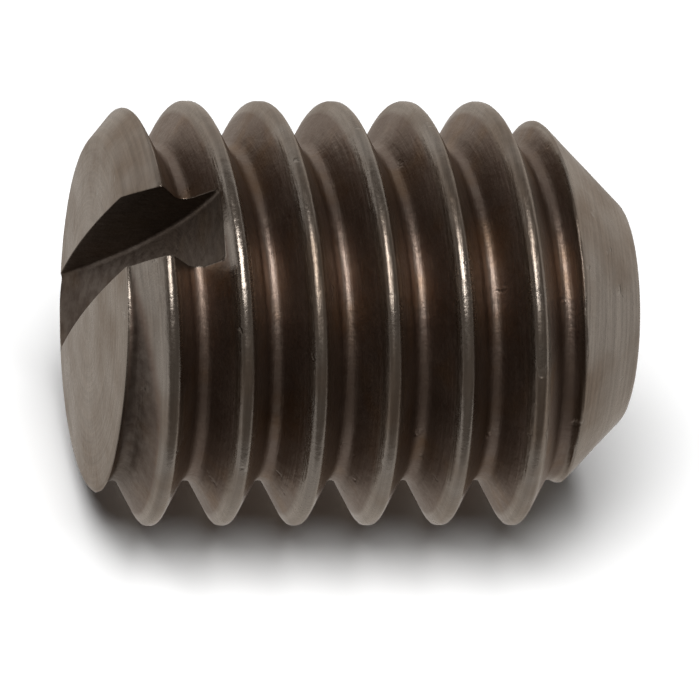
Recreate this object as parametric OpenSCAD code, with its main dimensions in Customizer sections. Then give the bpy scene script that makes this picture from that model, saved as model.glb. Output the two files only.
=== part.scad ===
// Slotted grub set screw: a headless screw, threaded over its whole length, with a saw-cut
// driving slot in one end and a flat point with a long cone at the other.
// It stands on its point. The origin is the centre of the point's face, +Z runs along the axis
// to the slotted end, and the slot runs along Y. Every size is in millimetres.

/* [Screw] */
// Length over both ends
length = 5.1; // [4.4:0.1:12]
// Colour of the dull steel, as red, green and blue
steel = [0.47, 0.43, 0.39];

/* [Thread] */
// Diameter over the crests
thread_d = 4; // [3.8:0.05:5]
// Distance from one crest to the next, along the axis
pitch = 0.7; // [0.5:0.05:0.8]
// Angle between the two flanks of the groove
flank_angle = 60; // [50:1:60]
// Angle round the axis at which a crest would meet the plane of the point
thread_start = 4; // [0:1:359]

/* [Slot] */
// Width of the saw cut
slot_w = 0.7; // [0.4:0.05:1]
// Depth of the slot's floor below the middle of the slotted end, where it is deepest
slot_depth = 0.95; // [0.5:0.05:1.6]
// Distance from the axis to the middle of the slot
slot_offset = 0.4; // [0:0.05:0.6]
// Diameter of the saw, which leaves an arc for the slot's floor
saw_d = 15; // [12:1:30]
// Distance from the axis to where the floor runs out at the far side of the end
slot_reach = 1.55; // [1.3:0.05:1.6]

/* [Slotted end] */
// Diameter of the end face, inside its chamfer
end_d = 3.3; // [2.8:0.05:3.6]
// Angle of the chamfer, from the axis
end_angle = 50; // [30:1:60]
// Height of the end face's slight crown
end_crown = 0.07; // [0.02:0.01:0.12]

/* [Point] */
// Diameter of the flat point
point_d = 2.05; // [1.6:0.05:2.8]
// Angle of the cone behind the point, from the axis
point_angle = 45; // [40:1:55]

/* [Hidden] */

// Facets round one turn of the thread, and round the whole of its rounded root
TURN_STEPS = 60;
ROOT_STEPS = 4;
$fn = 120;

crest_r = thread_d / 2;
end_r = end_d / 2;
point_r = point_d / 2;
// How far the cone and the chamfer reach along the axis
point_cone = (crest_r - point_r) / tan(point_angle);
end_chamfer = (crest_r - end_r) / tan(end_angle);
// The end face is part of a ball of this radius
crown_r = (end_r ^ 2 + end_crown ^ 2) / (2 * end_crown);
// The saw's centre stands off the axis, so that its arc ends at the level of the end's rim
saw_r = saw_d / 2;
slot_rise = slot_depth - end_crown;
saw_y = slot_reach - sqrt(slot_rise * (saw_d - slot_rise));

// The thread's outline starts as a row of sharp triangles. A crest is cut flat by an eighth of
// their height, and the root is rounded with a radius of a sixth of it.
half_angle = flank_angle / 2;
sharp_h = pitch / 2 / tan(half_angle);
crest_cut = sharp_h / 8;
root_round = sharp_h / 6;
root_centre_r = crest_r + crest_cut - sharp_h + root_round / sin(half_angle);
root_r = root_centre_r - root_round;
// The cutter's turns stand proud of the crests, half way to where they would meet
cutter_r = crest_r + crest_cut / 2;
cutter_half_w = (pitch - crest_cut * tan(half_angle)) / 2;

// The groove runs out over the cone at the point and over the slotted end. These are the
// heights of its middle: at zero degrees, and where it is clear of the screw at either end.
groove_height = pitch * (1 / 2 - thread_start / 360);
groove_low = (root_r - point_r) / tan(point_angle) - pitch / 2;
groove_high = length + pitch / 2;
first_step = floor((groove_low - groove_height) / pitch * TURN_STEPS);
last_step = ceil((groove_high - groove_height) / pitch * TURN_STEPS);

// The groove's outline as [radius, height], from its lower edge round the root to its upper one
groove_outline = [
    [cutter_r, -cutter_half_w],
    for (i = [0 : ROOT_STEPS])
        let (turned = (90 - half_angle) * (2 * i / ROOT_STEPS - 1))
        [root_centre_r - root_round * cos(turned), root_round * sin(turned)],
    [cutter_r, cutter_half_w]
];

// A right-hand helical bar with the groove's outline, which cuts the thread
module groove() {
    sides = len(groove_outline);
    rings = last_step - first_step;
    points = [
        for (step = [first_step : last_step], p = groove_outline)
            let (turned = 360 * step / TURN_STEPS)
            [p[0] * cos(turned), p[0] * sin(turned), groove_height + pitch * turned / 360 + p[1]]
    ];
    walls = [
        for (ring = [0 : rings - 1], side = [0 : sides - 1])
            let (
                a = ring * sides + side,
                b = ring * sides + (side + 1) % sides
            )
            each [[a, a + sides, b + sides], [a, b + sides, b]]
    ];
    low_cap = [for (side = [1 : sides - 2]) [0, side, side + 1]];
    high_cap = [for (face = low_cap) [for (i = [2, 1, 0]) face[i] + rings * sides]];
    polyhedron(points, concat(low_cap, walls, high_cap));
}

// The turned blank: flat point, cone, body at the crests' diameter, chamfer and crowned end
module blank() {
    intersection() {
        rotate_extrude()
            polygon([
                [0, 0],
                [point_r, 0],
                [crest_r, point_cone],
                [crest_r, length - end_crown - end_chamfer],
                [end_r, length - end_crown],
                [end_r - end_crown * tan(end_angle), length],
                [0, length]
            ]);
        translate([0, 0, length - crown_r])
            sphere(crown_r);
    }
}

// The saw cut across the slotted end. It is open and deepest at the near side, and shallows
// out before the far rim.
module slot() {
    translate([slot_offset, saw_y, length - slot_depth + saw_r])
        rotate([0, 90, 0])
            cylinder(r = saw_r, h = slot_w, center = true);
}

// The whole screw
module set_screw() {
    color(steel)
        difference() {
            blank();
            groove();
            slot();
        }
}

set_screw();
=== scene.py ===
"""A slotted grub set screw of dull steel, seen lying on a white table.

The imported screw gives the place, the diameter and the length. The thread, its run-outs over
the cone and the chamfer, the crowned end and the saw cut are worked out again on a finer grid,
with the soft edges of a real screw. Lengths are in millimetres until a mesh or a lamp is made.
"""

from __future__ import annotations

import logging
from dataclasses import dataclass, field
from enum import Enum
from math import cos, pi, radians, sin, tan

import bmesh
import bpy
import numpy as np
from mathutils import Matrix, Vector


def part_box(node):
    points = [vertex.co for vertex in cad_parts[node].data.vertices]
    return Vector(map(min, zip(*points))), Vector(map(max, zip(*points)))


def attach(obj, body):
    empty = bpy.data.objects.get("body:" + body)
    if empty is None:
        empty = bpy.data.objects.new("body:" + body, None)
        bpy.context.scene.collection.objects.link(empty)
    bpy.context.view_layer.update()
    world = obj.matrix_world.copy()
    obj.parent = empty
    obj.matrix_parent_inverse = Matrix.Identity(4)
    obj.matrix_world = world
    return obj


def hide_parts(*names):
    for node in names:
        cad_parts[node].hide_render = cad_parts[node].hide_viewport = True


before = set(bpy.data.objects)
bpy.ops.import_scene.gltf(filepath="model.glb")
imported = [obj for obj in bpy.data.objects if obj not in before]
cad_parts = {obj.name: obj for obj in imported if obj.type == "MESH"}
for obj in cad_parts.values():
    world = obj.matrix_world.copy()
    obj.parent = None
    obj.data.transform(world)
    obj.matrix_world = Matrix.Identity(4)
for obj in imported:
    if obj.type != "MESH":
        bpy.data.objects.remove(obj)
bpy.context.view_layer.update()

LOG = logging.getLogger("set_screw")
MM = 0.001
DIRT_AND_SHADE = "dirt_and_shade"
SAWN = "sawn"


def soft_min(first: np.ndarray, second: np.ndarray, blend: float) -> np.ndarray:
    """Takes the smaller of two surfaces and rounds the edge where they meet.

    Where the two differ by less than the blend, a parabola is taken off the smaller one. It
    is a quarter of the blend deep where they are equal.

    Args:
        first: Values of one surface.
        second: Values of the other, on the same grid.
        blend: Difference over which the edge is rounded, in the surfaces' own unit.

    Returns:
        The blended smaller values.
    """
    share = np.clip(0.5 + 0.5 * (second - first) / blend, 0.0, 1.0)
    return second + (first - second) * share - blend * share * (1.0 - share)


def rounded_corner(before: np.ndarray, corner: np.ndarray, after: np.ndarray, steps: int) -> np.ndarray:
    """Rounds a corner of an outline by a parabola that touches both of its sides.

    Args:
        before: Point [radius, height] on the first side, where the rounding starts.
        corner: The sharp corner.
        after: Point on the second side, where the rounding ends.
        steps: Number of stretches in the curve.

    Returns:
        The curve's points, from before to after, one in each row.
    """
    part = np.linspace(0.0, 1.0, steps + 1)[:, None]
    return (1 - part) ** 2 * before + 2 * part * (1 - part) * corner + part**2 * after


def mesh_from_grid(name: str, points: np.ndarray) -> bpy.types.Mesh:
    """Makes a mesh of four-sided faces from a grid of points.

    Args:
        name: Name of the mesh.
        points: Array of rows, columns and three coordinates, in millimetres. Rows run upwards
            and columns to the right, seen from the side that the faces turn to.

    Returns:
        The mesh, in metres.
    """
    rows, columns = points.shape[:2]
    index = np.arange(rows * columns).reshape(rows, columns)
    faces = np.stack([index[:-1, :-1], index[:-1, 1:], index[1:, 1:], index[1:, :-1]], axis=-1)
    mesh = bpy.data.meshes.new(name)
    mesh.from_pydata((points.reshape(-1, 3) * MM).tolist(), [], faces.reshape(-1, 4).tolist())
    mesh.update()
    return mesh


def paint(mesh: bpy.types.Mesh, name: str, values: np.ndarray, domain: str = "POINT") -> None:
    """Stores one number for each point of a mesh, or for each face, as an attribute."""
    layer = mesh.attributes.new(name, "FLOAT", domain)
    layer.data.foreach_set("value", values.astype(np.float32).ravel())


def weld(mesh: bpy.types.Mesh, reach: float = 1e-4) -> None:
    """Joins the points of a mesh that coincide, and removes faces that this leaves without area.

    Args:
        mesh: The mesh, which is changed.
        reach: Distance within which points coincide, in millimetres.
    """
    work = bmesh.new()
    work.from_mesh(mesh)
    bmesh.ops.remove_doubles(work, verts=work.verts, dist=reach * MM)
    bmesh.ops.dissolve_degenerate(work, edges=work.edges, dist=reach * MM)
    work.to_mesh(mesh)
    work.free()


@dataclass(frozen=True)
class Thread:
    """A right-hand thread, as a radius for each angle and height."""

    crest_radius: float
    pitch: float = 0.7
    flank_angle: float = 60.0
    start: float = 4.0
    crest_blend: float = 0.045

    @property
    def sharp_height(self) -> float:
        """Height of the sharp triangle that the thread's section is cut from."""
        return self.pitch / 2 / tan(radians(self.flank_angle / 2))

    @property
    def root_round(self) -> float:
        """Radius of the rounded root: a sixth of the sharp height."""
        return self.sharp_height / 6

    @property
    def root_radius(self) -> float:
        """Distance from the axis to the bottom of the groove."""
        return self.root_centre - self.root_round

    @property
    def root_centre(self) -> float:
        """Distance from the axis to the centre of the root's rounding."""
        sunk = self.sharp_height - self.sharp_height / 8
        return self.crest_radius - sunk + self.root_round / sin(radians(self.flank_angle / 2))

    def crest_height(self, angle: np.ndarray) -> np.ndarray:
        """Height of one crest: it climbs one pitch in a turn of 360 degrees."""
        return self.pitch * (angle - self.start) / 360.0

    def radius(self, angle: np.ndarray, height: np.ndarray) -> np.ndarray:
        """Radius of the thread without its flat crest.

        The distance along the axis to the nearest groove's middle decides it: the flank rises
        from there in a straight line to a sharp crest, and near the middle the radius is that
        of a circle round the root's centre.

        Args:
            angle: Angle round the axis, in degrees.
            height: Height along the axis.

        Returns:
            The radius at each place.
        """
        turns = (height - self.crest_height(angle)) / self.pitch
        from_crest = np.abs(turns - np.round(turns)) * self.pitch
        from_root = self.pitch / 2 - from_crest
        half_angle = radians(self.flank_angle / 2)
        flank = self.crest_radius + self.sharp_height / 8 - from_crest / tan(half_angle)
        bowl = self.root_centre - np.sqrt(np.maximum(self.root_round**2 - from_root**2, 0.0))
        return np.where(from_root < self.root_round * cos(half_angle), bowl, flank)


class End(Enum):
    """The two ends of the screw."""

    POINT = "point"
    SLOTTED = "slotted"


@dataclass(frozen=True)
class Blank:
    """The turned blank: flat point, cone, body, chamfer and crowned end."""

    length: float
    crest_radius: float
    end_radius: float = 1.65
    end_angle: float = 50.0
    end_crown: float = 0.07
    point_radius: float = 1.025
    point_angle: float = 45.0
    edge_blend: float = 0.03
    rim_round: float = 0.035
    wear: float = 0.006
    wear_waves: tuple[tuple[int, float], ...] = ((5, 3.1), (13, -7.7), (29, 17.3))
    point_round: float = 0.05
    rim_steps: int = 5
    crown_steps: int = 18
    face_steps: int = 5

    @property
    def cone_foot(self) -> float:
        """Height at which the point's rounded rim goes over into the cone."""
        return self.point_round * cos(radians(self.point_angle))

    @property
    def chamfer_top(self) -> float:
        """Height at which the chamfer goes over into the end's rounded rim."""
        return self.length - self.end_crown - self.rim_round * cos(radians(self.end_angle))

    def radius(self, height: np.ndarray) -> np.ndarray:
        """Radius between the two rims: the least of the cone, the body and the chamfer.

        Args:
            height: Height along the axis.

        Returns:
            The radius at each height.
        """
        cone = self.point_radius + height * tan(radians(self.point_angle))
        above = self.length - self.end_crown - height
        chamfer = self.end_radius + above * tan(radians(self.end_angle))
        body = np.full_like(height, self.crest_radius)
        return soft_min(soft_min(cone, body, self.edge_blend), chamfer, self.edge_blend)

    def worn(self, angle: np.ndarray, height: np.ndarray) -> np.ndarray:
        """Depth of the wear: the mean of some waves that run round the screw and lean.

        Each wave has a number of crests in a turn, and leans by an angle for each millimetre of
        height.

        Args:
            angle: Angle round the axis, in degrees.
            height: Height along the axis.

        Returns:
            The depth at each place, from nothing to the full wear.
        """
        turned = np.radians(angle)
        waves = sum(np.sin(crests * turned + lean * height) for crests, lean in self.wear_waves)
        return self.wear * (0.5 + waves / (2 * len(self.wear_waves)))

    def outline(self, end: End) -> np.ndarray:
        """Outline [radius, height] of one end: from the axis or to it, as its rows climb."""
        return self.point_outline() if end is End.POINT else self.end_outline()

    def point_outline(self) -> np.ndarray:
        """Outline of the flat point, from its centre to the foot of the cone.

        Returns:
            Points [radius, height], one in each row.
        """
        corner = np.array([self.point_radius, 0.0])
        face_edge = corner - [self.point_round, 0.0]
        up_cone = np.array([sin(radians(self.point_angle)), cos(radians(self.point_angle))])
        rim = rounded_corner(face_edge, corner, corner + self.point_round * up_cone, self.rim_steps)
        inner = np.linspace(0.0, face_edge[0], self.face_steps, endpoint=False)
        return np.concatenate([np.stack([inner, np.zeros_like(inner)], axis=1), rim[:-1]])

    def end_outline(self) -> np.ndarray:
        """Outline of the crowned end, from the top of the chamfer to the centre.

        The crown is a parabola: its drop grows with the square of the distance from the axis.

        Returns:
            Points [radius, height], one in each row.
        """
        corner = np.array([self.end_radius, self.length - self.end_crown])
        down = np.array([sin(radians(self.end_angle)), -cos(radians(self.end_angle))])
        inner_radius = self.end_radius - self.rim_round
        distance = np.linspace(inner_radius, 0.0, self.crown_steps + 1)
        height = self.length - self.end_crown * (distance / self.end_radius) ** 2
        crown = np.stack([distance, height], axis=1)
        rim = rounded_corner(corner + self.rim_round * down, corner, crown[0], self.rim_steps)
        return np.concatenate([rim[1:-1], crown])


@dataclass(frozen=True)
class SawCut:
    """The driving slot: cut by a saw's disc to one side of the axis, and open at the -Y side."""

    width: float = 0.7
    depth: float = 0.95
    offset: float = 0.4
    saw_radius: float = 7.5
    reach: float = 1.55
    tooth_round: float = 0.05
    round_steps: int = 4
    turn_steps: int = 720
    slack: float = 0.0001

    def outline(self) -> np.ndarray:
        """Outline of the disc, with rounded edges.

        Returns:
            Points [radius, place along the saw's axis], one in each row.
        """
        half, inner = self.width / 2, self.saw_radius - self.tooth_round
        edge = rounded_corner(
            np.array([inner, -half]),
            np.array([self.saw_radius, -half]),
            np.array([self.saw_radius, self.tooth_round - half]),
            self.round_steps,
        )
        return np.concatenate([[[0.0, -half]], edge, edge[::-1] * [1, -1], [[0.0, half]]])

    def axis(self, blank: Blank) -> tuple[float, float]:
        """Works out where the saw's axis, which is parallel to X, stands in Y and Z.

        It stands so high and so far to the -Y side that the disc reaches the slot's depth,
        and passes the level of the end's rim at the slot's reach.

        Args:
            blank: The blank that is cut.

        Returns:
            The axis's place in Y and in Z.
        """
        rise = self.depth - blank.end_crown
        axis_y = self.reach - (rise * (2 * self.saw_radius - rise)) ** 0.5
        return axis_y, blank.length - self.depth + self.saw_radius

    def touches(self, mesh: bpy.types.Mesh, blank: Blank) -> np.ndarray:
        """Tells which faces of the cut mesh were left by the saw.

        Args:
            mesh: The screw's mesh, after the cut.
            blank: The blank that was cut.

        Returns:
            True for each face whose middle lies in the disc or on its surface.
        """
        middles = np.empty(3 * len(mesh.polygons), dtype=np.float32)
        mesh.polygons.foreach_get("center", middles)
        across, along, height = middles.reshape(-1, 3).T / MM
        axis_y, axis_z = self.axis(blank)
        inside = np.hypot(along - axis_y, height - axis_z) < self.saw_radius + self.slack
        return inside & (np.abs(across - self.offset) < self.width / 2 + self.slack)

    def cutter(self, blank: Blank) -> bpy.types.Object:
        """Makes the disc, by turning its outline about its axis.

        Args:
            blank: The blank that is cut.

        Returns:
            The disc, to be removed once it has cut.
        """
        axis_y, axis_z = self.axis(blank)
        radius, place = np.split(self.outline(), 2, axis=1)
        turn = np.linspace(0.0, 2 * pi, self.turn_steps + 1)[None, :]
        across = self.offset + place * np.ones_like(turn)
        along, height = axis_y + radius * np.cos(turn), axis_z + radius * np.sin(turn)
        points = np.stack([across, along, height], axis=-1)
        mesh = mesh_from_grid("saw", points)
        weld(mesh)
        saw = bpy.data.objects.new("saw", mesh)
        bpy.context.scene.collection.objects.link(saw)
        return saw


@dataclass(frozen=True)
class Ramp:
    """A range of values, from low to high, and the values that its two ends become."""

    low: float
    high: float
    start: float = 0.0
    end: float = 1.0


@dataclass(frozen=True)
class Relief:
    """How a pattern stands out as bump: its strength, and its height in millimetres."""

    strength: float
    height: float
    sunk: bool = False


class NodeMaker:
    """Adds shader nodes to a material or a world and joins them up."""

    def __init__(self, owner: bpy.types.ID) -> None:
        """Takes over the owner's node tree and empties it."""
        owner.use_nodes = True
        self.tree = owner.node_tree
        self.tree.nodes.clear()

    def add(self, kind: str, inputs: dict | None = None, **settings: object) -> bpy.types.Node:
        """Adds a node.

        Args:
            kind: Its type, without the leading ShaderNode.
            inputs: Values, or sockets to link from, by the input's name or number.
            **settings: Properties of the node.

        Returns:
            The node.
        """
        node = self.tree.nodes.new("ShaderNode" + kind)
        for name, value in settings.items():
            setattr(node, name, value)
        for name, value in (inputs or {}).items():
            if isinstance(value, bpy.types.NodeSocket):
                self.tree.links.new(value, node.inputs[name])
            else:
                node.inputs[name].default_value = value
        return node

    def math(self, operation: str, *values: object) -> bpy.types.NodeSocket:
        """Adds a sum on numbers and returns its result."""
        return self.add("Math", dict(enumerate(values)), operation=operation).outputs[0]

    def dot(self, first: bpy.types.NodeSocket, second: Vector) -> bpy.types.NodeSocket:
        """Adds the product of two directions: 1 where they agree, and -1 where they oppose."""
        return self.add("VectorMath", {0: first, 1: second}, operation="DOT_PRODUCT").outputs["Value"]

    def total(self, first: bpy.types.NodeSocket, second: bpy.types.NodeSocket) -> bpy.types.NodeSocket:
        """Adds the sum of two vectors and returns it."""
        return self.add("VectorMath", {0: first, 1: second}, operation="ADD").outputs[0]

    def scaled(self, vector: bpy.types.NodeSocket, factor: object) -> bpy.types.NodeSocket:
        """Adds the product of a vector or a colour and a number, and returns it."""
        return self.add("VectorMath", {0: vector, "Scale": factor}, operation="SCALE").outputs[0]

    def noise(self, vector: bpy.types.NodeSocket, scale: float, detail: float) -> bpy.types.NodeSocket:
        """Adds a noise pattern and returns its value."""
        return self.add("TexNoise", {"Vector": vector, "Scale": scale, "Detail": detail}).outputs["Fac"]

    def spread(self, value: bpy.types.NodeSocket, ramp: Ramp) -> bpy.types.NodeSocket:
        """Carries a value from a ramp's range over to its ends' values, and holds it between them.

        Args:
            value: The value.
            ramp: The range, and what its ends become.

        Returns:
            The new value.
        """
        given = {
            "Value": value,
            "From Min": ramp.low,
            "From Max": ramp.high,
            "To Min": ramp.start,
            "To Max": ramp.end,
        }
        return self.add("MapRange", given).outputs["Result"]

    def blend(self, share: object, first: object, second: object) -> bpy.types.NodeSocket:
        """Mixes two colours.

        Args:
            share: How much of the second colour there is, as a number or a socket.
            first: The first colour, as four numbers or a socket.
            second: The second colour, likewise.

        Returns:
            The mixed colour.
        """
        mix = self.add("Mix", data_type="RGBA")
        sockets = {"Factor_Float": share, "A_Color": first, "B_Color": second}
        for socket in mix.inputs:
            value = sockets.get(socket.identifier)
            if isinstance(value, bpy.types.NodeSocket):
                self.tree.links.new(value, socket)
            elif value is not None:
                socket.default_value = value
        return next(socket for socket in mix.outputs if socket.identifier == "Result_Color")

    def bump(
        self, pattern: bpy.types.NodeSocket, relief: Relief, normal: bpy.types.NodeSocket
    ) -> bpy.types.NodeSocket:
        """Lays a pattern over a surface as bump.

        Args:
            pattern: The pattern.
            relief: How it stands out.
            normal: The surface's normal, with any bump that lies under the pattern.

        Returns:
            The new normal.
        """
        given = {
            "Height": pattern,
            "Strength": relief.strength,
            "Distance": relief.height * MM,
            "Normal": normal,
        }
        return self.add("Bump", given, invert=relief.sunk).outputs[0]


@dataclass(frozen=True)
class SteelPatterns:
    """The patterns that the steel's colour, gloss and relief are made from."""

    place: bpy.types.NodeSocket
    streaks: bpy.types.NodeSocket
    stains: bpy.types.NodeSocket
    grain: bpy.types.NodeSocket
    pits: bpy.types.NodeSocket
    nicks: bpy.types.NodeSocket
    dirt_and_shade: bpy.types.NodeSocket
    painted_shade: bpy.types.NodeSocket


@dataclass(frozen=True)
class DullSteel:
    """Thread-rolled and turned steel, lightly oiled, worn on its crests, and darkened in its grooves by
    dirt and painted shade.

    A scale is about the number of a pattern's cells in a millimetre, and a share is the most
    that one colour covers another.
    """

    colour: tuple[float, float, float] = (0.27, 0.233, 0.2)
    stain: tuple[float, float, float] = (0.2, 0.148, 0.108)
    bare: tuple[float, float, float] = (0.42, 0.38, 0.335)
    glance: tuple[float, float, float] = (0.95, 0.88, 0.81)
    dirt_and_shade: tuple[float, float, float] = (0.175, 0.127, 0.102)
    rust: tuple[float, float, float] = (0.19, 0.115, 0.065)
    streak_scale: float = 26.0
    stain_scale: float = 1.3
    rust_scale: float = 2.1
    pit_scale: float = 9.0
    grain_scale: float = 38.0
    nick_scale: float = 2.2
    ragged_scale: float = 7.0
    ragged_shift: float = 0.3
    nick_share: float = 0.6
    dirt_and_shade_share: float = 0.95
    grime_roughness: float = 0.12
    edge_round: float = 0.02
    edge_samples: int = 4
    nick_ramp: Ramp = Ramp(0.02, 0.13, 1.0, 0.0)
    stain_ramp: Ramp = Ramp(0.42, 0.68, 0.0, 0.75)
    streak_ramp: Ramp = Ramp(0.35, 0.65, 0.86, 1.1)
    cover_ramp: Ramp = Ramp(0.35, 0.65, 0.75, 1.0)
    # painted shade in the slot and at the slotted end's rim: the colour falls from 1 to 0.4
    painted_shade_ramp: Ramp = Ramp(1.0, 2.0, 1.0, 0.4)
    rust_ramp: Ramp = Ramp(0.5, 0.72, 0.0, 0.8)
    rough_ramp: Ramp = Ramp(0.35, 0.7, 0.25, 0.39)
    grain_ramp: Ramp = Ramp(0.3, 0.7, -0.04, 0.05)
    streak_relief: Relief = Relief(0.35, 0.012)
    pit_relief: Relief = Relief(0.2, 0.03)
    nick_relief: Relief = Relief(0.5, 0.015, sunk=True)
    grain_relief: Relief = Relief(0.25, 0.006)

    def patterns(self, nodes: NodeMaker) -> SteelPatterns:
        """Lays out the patterns.

        Turned streaks follow the distance from the axis and the height, so they run round the
        screw on its faces, cone and flanks alike. Nicks are the middles of scattered cells,
        and noise shifts their places to make them ragged. Dirt and painted shade come from the mesh.

        Args:
            nodes: The material's nodes.

        Returns:
            The patterns, from 0 to 1. Only the painted shade of the slot and the slotted end's rim goes on
            to 2.
        """
        place = nodes.scaled(nodes.add("TexCoord").outputs["Object"], 1 / MM)
        parts = nodes.add("SeparateXYZ", {0: place}).outputs
        across = nodes.add("CombineXYZ", {0: parts["X"], 1: parts["Y"]}).outputs[0]
        distance = nodes.add("VectorMath", {0: across}, operation="LENGTH").outputs["Value"]
        turned = nodes.add("CombineXYZ", {0: distance, 1: parts["Z"]}).outputs[0]
        turned = nodes.total(nodes.scaled(turned, self.streak_scale), place)
        shifts = nodes.add("TexNoise", {"Vector": place, "Scale": self.ragged_scale}).outputs["Color"]
        ragged = nodes.total(place, nodes.scaled(shifts, self.ragged_shift))
        cells = nodes.add("TexVoronoi", {"Vector": ragged, "Scale": self.nick_scale}).outputs["Distance"]
        dirt_and_shade = nodes.add("Attribute", attribute_name=DIRT_AND_SHADE).outputs["Fac"]
        sawn = nodes.add("Attribute", attribute_name=SAWN).outputs["Fac"]
        # painted shade: the sawn faces of the slot get the deepest darkening
        painted_shade = nodes.math("MAXIMUM", dirt_and_shade, nodes.math("MULTIPLY", sawn, self.painted_shade_ramp.high))
        return SteelPatterns(
            place=place,
            streaks=nodes.noise(turned, scale=1.0, detail=3.0),
            stains=nodes.noise(place, self.stain_scale, detail=4.0),
            grain=nodes.noise(place, self.grain_scale, detail=2.0),
            pits=nodes.noise(place, self.pit_scale, detail=3.0),
            nicks=nodes.spread(cells, self.nick_ramp),
            dirt_and_shade=nodes.math("MINIMUM", painted_shade, 1.0),
            painted_shade=painted_shade,
        )

    def tint(self, nodes: NodeMaker, patterns: SteelPatterns) -> bpy.types.NodeSocket:
        """Mixes the colour: stained and streaked steel with bare nicks, under dirt and painted shade, and
        rust.

        Args:
            nodes: The material's nodes.
            patterns: The patterns.

        Returns:
            The colour.
        """
        stained = nodes.spread(patterns.stains, self.stain_ramp)
        steel = nodes.blend(stained, (*self.colour, 1), (*self.stain, 1))
        steel = nodes.scaled(steel, nodes.spread(patterns.streaks, self.streak_ramp))
        struck = nodes.math("MULTIPLY", patterns.nicks, self.nick_share)
        steel = nodes.blend(struck, steel, (*self.bare, 1))
        rusted = nodes.spread(nodes.noise(patterns.place, self.rust_scale, detail=3.0), self.rust_ramp)
        dirt_and_shade_colour = nodes.blend(rusted, (*self.dirt_and_shade, 1), (*self.rust, 1))
        # painted shade: the slot and the groove at the slotted end's rim are darkened down to 0.4
        dirt_and_shade_colour = nodes.scaled(dirt_and_shade_colour, nodes.spread(patterns.painted_shade, self.painted_shade_ramp))
        # dirt and painted shade: the colour darkens towards the deep grooves, patchy with noise
        dirt_and_shade_cover = nodes.math("MULTIPLY", patterns.dirt_and_shade, nodes.spread(patterns.pits, self.cover_ramp))
        return nodes.blend(nodes.math("MULTIPLY", dirt_and_shade_cover, self.dirt_and_shade_share), steel, dirt_and_shade_colour)

    def roughness(self, nodes: NodeMaker, patterns: SteelPatterns) -> bpy.types.NodeSocket:
        """Works out the roughness, which follows the stains and the grain and grows with grime.

        Args:
            nodes: The material's nodes.
            patterns: The patterns.

        Returns:
            The roughness.
        """
        rough = nodes.spread(patterns.stains, self.rough_ramp)
        rough = nodes.math("ADD", rough, nodes.spread(patterns.grain, self.grain_ramp))
        return nodes.math("ADD", rough, nodes.math("MULTIPLY", patterns.dirt_and_shade, self.grime_roughness))

    def relief(self, nodes: NodeMaker, patterns: SteelPatterns) -> bpy.types.NodeSocket:
        """Rounds the edges a little in the shading, and lays the patterns over that as bump.

        Args:
            nodes: The material's nodes.
            patterns: The patterns.

        Returns:
            The normal.
        """
        layers = (
            (patterns.streaks, self.streak_relief),
            (patterns.pits, self.pit_relief),
            (patterns.nicks, self.nick_relief),
            (patterns.grain, self.grain_relief),
        )
        edge = {"Radius": self.edge_round * MM}
        normal = nodes.add("Bevel", edge, samples=self.edge_samples).outputs[0]
        for pattern, relief in layers:
            normal = nodes.bump(pattern, relief, normal)
        return normal

    def material(self) -> bpy.types.Material:
        """Makes the material.

        Returns:
            The material, which is a metal all over.
        """
        material = bpy.data.materials.new("dull_steel")
        nodes = NodeMaker(material)
        patterns = self.patterns(nodes)
        given = {
            "Base Color": self.tint(nodes, patterns),
            "Metallic": 1.0,
            "Roughness": self.roughness(nodes, patterns),
            "Specular Tint": (*self.glance, 1),
            "Normal": self.relief(nodes, patterns),
        }
        shader = nodes.add("BsdfPrincipled", given).outputs[0]
        nodes.add("OutputMaterial", {"Surface": shader})
        return material


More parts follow.
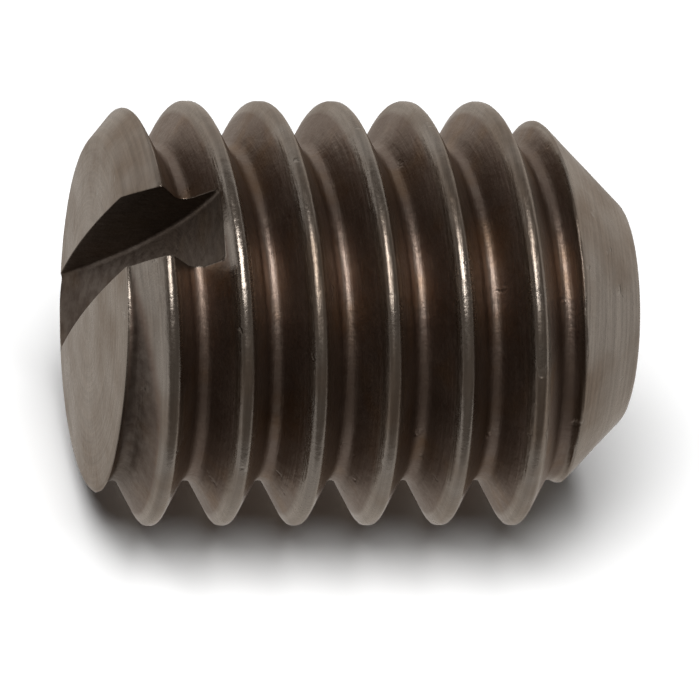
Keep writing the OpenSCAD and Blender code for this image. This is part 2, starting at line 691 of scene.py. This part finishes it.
@dataclass
class SetScrew:
    """The whole screw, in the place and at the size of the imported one."""

    node: str = "set_screw"
    body: str = "root"
    material_slot: str = "steel"
    columns: int = 300
    rows_per_turn: int = 36
    crease: float = 38.0
    dirt_and_shade_depths: tuple[float, float] = (0.2, 0.3)
    painted_shade_depths: tuple[float, float] = (0.5, 0.25)
    cut: SawCut = field(default_factory=SawCut)
    finish: DullSteel = field(default_factory=DullSteel)

    def __post_init__(self) -> None:
        """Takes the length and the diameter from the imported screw's box."""
        low, high = (np.array(corner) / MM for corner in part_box(self.node))
        crest_radius = float(high[0] - low[0]) / 2
        self.blank = Blank(length=float(high[2] - low[2]), crest_radius=crest_radius)
        self.thread = Thread(crest_radius=crest_radius)

    def surface(self) -> tuple[np.ndarray, np.ndarray]:
        """Works out the screw's closed surface, without its slot.

        Rows run from the point's centre over the cone, the body and the chamfer to the middle
        of the other end. Over the body they climb with the thread, so that one runs along
        each crest and each root, and they are held between the two rims. The radius is the
        smaller of the blank's and the thread's.

        Returns:
            The grid of points, and the darkening at each point, dirt and painted shade together. It grows
            from 0 to 1 between two depths of the groove, and to 2 as painted shade near the slotted end's
            rim.
        """
        angle = np.linspace(0.0, 360.0, self.columns + 1)[None, :]
        step = self.thread.pitch / self.rows_per_turn
        base = self.thread.crest_height(angle)
        foot, top = self.blank.cone_foot, self.blank.chamfer_top
        first = int(np.floor((foot - base.max()) / step))
        last = int(np.ceil((top - base.min()) / step))
        climb = np.arange(first, last + 1)[:, None] * step
        body_height = np.clip(base + climb, foot, top)
        point, end = self.blank.outline(End.POINT), self.blank.outline(End.SLOTTED)
        wide = np.ones_like(angle)
        height = np.concatenate([point[:, 1:] * wide, body_height, end[:, 1:] * wide])
        blank = np.concatenate([point[:, :1] * wide, self.blank.radius(body_height), end[:, :1] * wide])
        worn = blank - self.blank.worn(angle, height) * blank / self.blank.crest_radius
        radius = soft_min(worn, self.thread.radius(angle, height), self.thread.crest_blend)
        depth = (blank - radius) / (self.thread.crest_radius - self.thread.root_radius)
        # dirt and painted shade: the grooves darken from the first depth to the second
        low, high = self.dirt_and_shade_depths
        # painted shade: the groove next to the slotted end's rim is darkened further
        start, full = (self.blank.length - below for below in self.painted_shade_depths)
        painted_shade = np.clip((height - start) / (full - start), 0.0, 1.0)
        turned = np.radians(angle)
        points = np.stack([radius * np.cos(turned), radius * np.sin(turned), height], axis=-1)
        return points, np.clip((depth - low) / (high - low), 0.0, 1.0) * (1 + painted_shade)

    def build(self) -> bpy.types.Object:
        """Makes the screw's piece and cuts the slot into it.

        Returns:
            The piece, at the origin, with its place in its mesh.
        """
        points, dirt_and_shade = self.surface()
        mesh = mesh_from_grid("screw", points)
        # stores the darkening for dirt and painted shade in the grooves, and painted shade at the rim
        paint(mesh, DIRT_AND_SHADE, dirt_and_shade)
        weld(mesh)
        piece = bpy.data.objects.new("screw", mesh)
        bpy.context.scene.collection.objects.link(piece)
        saw = self.cut.cutter(self.blank)
        cutting = piece.modifiers.new("slot", "BOOLEAN")
        cutting.operation, cutting.solver, cutting.object = "DIFFERENCE", "EXACT", saw
        graph = bpy.context.evaluated_depsgraph_get()
        finished = bpy.data.meshes.new_from_object(piece.evaluated_get(graph))
        piece.modifiers.clear()
        piece.data = finished
        bpy.data.objects.remove(saw)
        finished.name = "screw"
        # the sawn faces, which the finish darkens as painted shade
        paint(finished, SAWN, self.cut.touches(finished, self.blank), "FACE")
        finished.shade_smooth()
        finished.set_sharp_from_angle(angle=radians(self.crease))
        return piece

    def dress(self, piece: bpy.types.Object) -> None:
        """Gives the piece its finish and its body."""
        piece.data.materials.clear()
        piece.data.materials.append(self.finish.material())
        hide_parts(self.node)
        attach(piece, self.body)


@dataclass(frozen=True)
class PhotoView:
    """Where the camera stands, at the photograph's angle to the screw.

    The screw stands on its point here, so the camera is rolled until the axis lies across the
    picture, with the slotted end to the left. Angles are in degrees.
    """

    azimuth: float = -14.0
    elevation: float = 12.5
    picture_width: float = 6.591
    opening: float = 2.4
    aim_height: float = 2.573
    aim_drop: float = 0.3465
    clip_near: float = 1.0
    clip_far: float = 1600.0

    @property
    def toward(self) -> Vector:
        """Direction from the axis towards the camera, square to the axis."""
        return Vector((sin(radians(self.azimuth)), -cos(radians(self.azimuth)), 0.0))

    @property
    def up(self) -> Vector:
        """The picture's upward direction."""
        return Vector((cos(radians(self.azimuth)), sin(radians(self.azimuth)), 0.0))

    def direction(self, above: float, left: float) -> Vector:
        """Works out a direction from the screw to a lamp or to the camera.

        Args:
            above: Angle from toward to the picture's top.
            left: Angle from there to the picture's left, along the axis.

        Returns:
            The direction.
        """
        level = self.toward * cos(radians(above)) + self.up * sin(radians(above))
        return level * cos(radians(left)) + Vector((0, 0, 1)) * sin(radians(left))

    def camera(self) -> bpy.types.Object:
        """Makes the camera and puts it in place.

        Returns:
            The camera.
        """
        data = bpy.data.cameras.new("photo_view")
        data.lens = data.sensor_width / 2 / tan(radians(self.opening / 2))
        camera = bpy.data.objects.new("photo_view", data)
        bpy.context.scene.collection.objects.link(camera)
        back = self.direction(0.0, self.elevation)
        turn = Matrix((self.up.cross(back), self.up, back)).transposed().to_quaternion()
        distance = self.picture_width / 2 / tan(radians(self.opening / 2))
        aim = Vector((0, 0, self.aim_height)) - self.up * self.aim_drop
        camera.matrix_world = Matrix.LocRotScale((aim + back * distance) * MM, turn, None)
        data.clip_start = self.clip_near * MM
        data.clip_end = self.clip_far * MM
        return camera


@dataclass(frozen=True)
class Softbox:
    """A square lamp that faces the screw: it is mirrored by the screw, or lights the table."""

    above: float
    left: float
    width: float
    height: float
    radiance: float
    for_table: bool = False
    distance: float = 120.0

    def build(self, name: str, view: PhotoView) -> bpy.types.Object:
        """Makes the lamp. Blender's power is four times the area times the radiance.

        Args:
            name: Name of the lamp.
            view: The camera's place, from which the lamp's angles are counted.

        Returns:
            The lamp.
        """
        data = bpy.data.lights.new(name, "AREA")
        data.shape = "RECTANGLE"
        data.size = self.width * MM
        data.size_y = self.height * MM
        data.energy = 4 * data.size * data.size_y * self.radiance
        lamp = bpy.data.objects.new(name, data)
        bpy.context.scene.collection.objects.link(lamp)
        back = view.direction(self.above, self.left)
        place = Vector((0, 0, view.aim_height)) + back * self.distance
        lamp.matrix_world = Matrix.LocRotScale(place * MM, back.to_track_quat("Z", "Y"), None)
        lamp.visible_camera = False
        lamp.visible_glossy = not self.for_table
        lamp.visible_diffuse = self.for_table
        return lamp


@dataclass
class Studio:
    """A white table under the screw's side, bright surroundings, a dim room behind the camera.

    Lights and the table's colour are shares of white, and angles are in degrees.
    """

    screw_radius: float
    view: PhotoView = field(default_factory=PhotoView)
    camera_rise: float = 38.0
    table_reach: float = 30.0
    table_colour: float = 1.06
    table_light: float = 0.03
    room_light: tuple[float, float, float] = (0.17, 0.155, 0.142)
    room_reach: float = 88.0
    room_edge: float = 8.0
    light_level: float = 0.78
    light_steep: float = 0.6
    steep_rise: float = 0.7
    key: Softbox = Softbox(above=24.5, left=10.0, width=60.0, height=60.0, radiance=7.0)
    overhead: Softbox = Softbox(
        above=35.0, left=8.0, width=84.0, height=84.0, radiance=6.9, for_table=True
    )

    @property
    def table_normal(self) -> Vector:
        """Direction that the table's top faces."""
        rise = radians(self.camera_rise)
        return self.view.up * cos(rise) + self.view.toward * sin(rise)

    def table_finish(self) -> bpy.types.Material:
        """Makes the table's material: white from above, and clear from below.

        Returns:
            The material.
        """
        material = bpy.data.materials.new("white_table")
        nodes = NodeMaker(material)
        white = nodes.add("BsdfDiffuse", {"Color": (*[self.table_colour] * 3, 1)}).outputs[0]
        clear = nodes.add("BsdfTransparent").outputs[0]
        below = nodes.add("NewGeometry").outputs["Backfacing"]
        top = nodes.add("MixShader", {0: below, 1: white, 2: clear}).outputs[0]
        nodes.add("OutputMaterial", {"Surface": top})
        return material

    def table(self) -> bpy.types.Object:
        """Makes the table top: a plane that touches the screw's side.

        Its points are the point of touch, with steps along the screw's axis and square to it.
        Only the camera sees it, so the light reaches the screw from all sides.

        Returns:
            The table.
        """
        normal = self.table_normal
        axis = Vector((0, 0, 1))
        steps = np.linspace(-self.table_reach, self.table_reach, 2)
        points = (
            np.array(-normal * self.screw_radius)
            + steps[:, None, None] * np.array(axis)
            + steps[None, :, None] * np.array(axis.cross(normal))
        )
        table = bpy.data.objects.new("table", mesh_from_grid("table", points))
        bpy.context.scene.collection.objects.link(table)
        table.data.materials.append(self.table_finish())
        for kind in ("diffuse", "glossy", "transmission", "shadow", "volume_scatter"):
            setattr(table, f"visible_{kind}", False)
        return table

    def world(self) -> bpy.types.World:
        """Makes the surroundings: white to the camera, and a plain even light to the table.

        The screw mirrors them brightest level with the table, dimmer above and below, and
        dimmest in the room behind the camera.

        Returns:
            The world.
        """
        world = bpy.data.worlds.new("surroundings")
        nodes = NodeMaker(world)
        ray = nodes.add("TexCoord").outputs["Generated"]
        rise = nodes.math("ABSOLUTE", nodes.dot(ray, self.table_normal))
        bright = nodes.spread(rise, Ramp(0.0, self.steep_rise, self.light_level, self.light_steep))
        outer, inner = (cos(radians(self.room_reach + edge)) for edge in (self.room_edge, -self.room_edge))
        behind_camera = nodes.spread(nodes.dot(ray, self.view.toward), Ramp(outer, inner))
        mirrored = nodes.blend(behind_camera, bright, (*self.room_light, 1))
        path = nodes.add("LightPath").outputs
        colour = nodes.blend(path["Is Glossy Ray"], (*[self.table_light] * 3, 1), mirrored)
        colour = nodes.blend(path["Is Camera Ray"], colour, (1, 1, 1, 1))
        light = nodes.add("Background", {"Color": colour}).outputs[0]
        nodes.add("OutputWorld", {"Surface": light})
        return world

    def build(self) -> None:
        """Sets the table, the lamps, the surroundings and the camera.

        The key lamp is the one that the screw mirrors, and the overhead one lights the table.
        """
        self.table()
        self.key.build("key", self.view)
        self.overhead.build("overhead", self.view)
        scene = bpy.context.scene
        scene.world = self.world()
        scene.camera = self.view.camera()
        scene.view_settings.view_transform = "Standard"


def main() -> None:
    """Builds the screw and its studio."""
    logging.basicConfig(level=logging.INFO, format="%(name)s: %(message)s")
    screw = SetScrew()
    piece = screw.build()
    screw.dress(piece)
    LOG.info("%s: %d points, %d faces", piece.name, len(piece.data.vertices), len(piece.data.polygons))
    Studio(screw_radius=screw.blank.crest_radius).build()


if __name__ == "__main__":
    main()
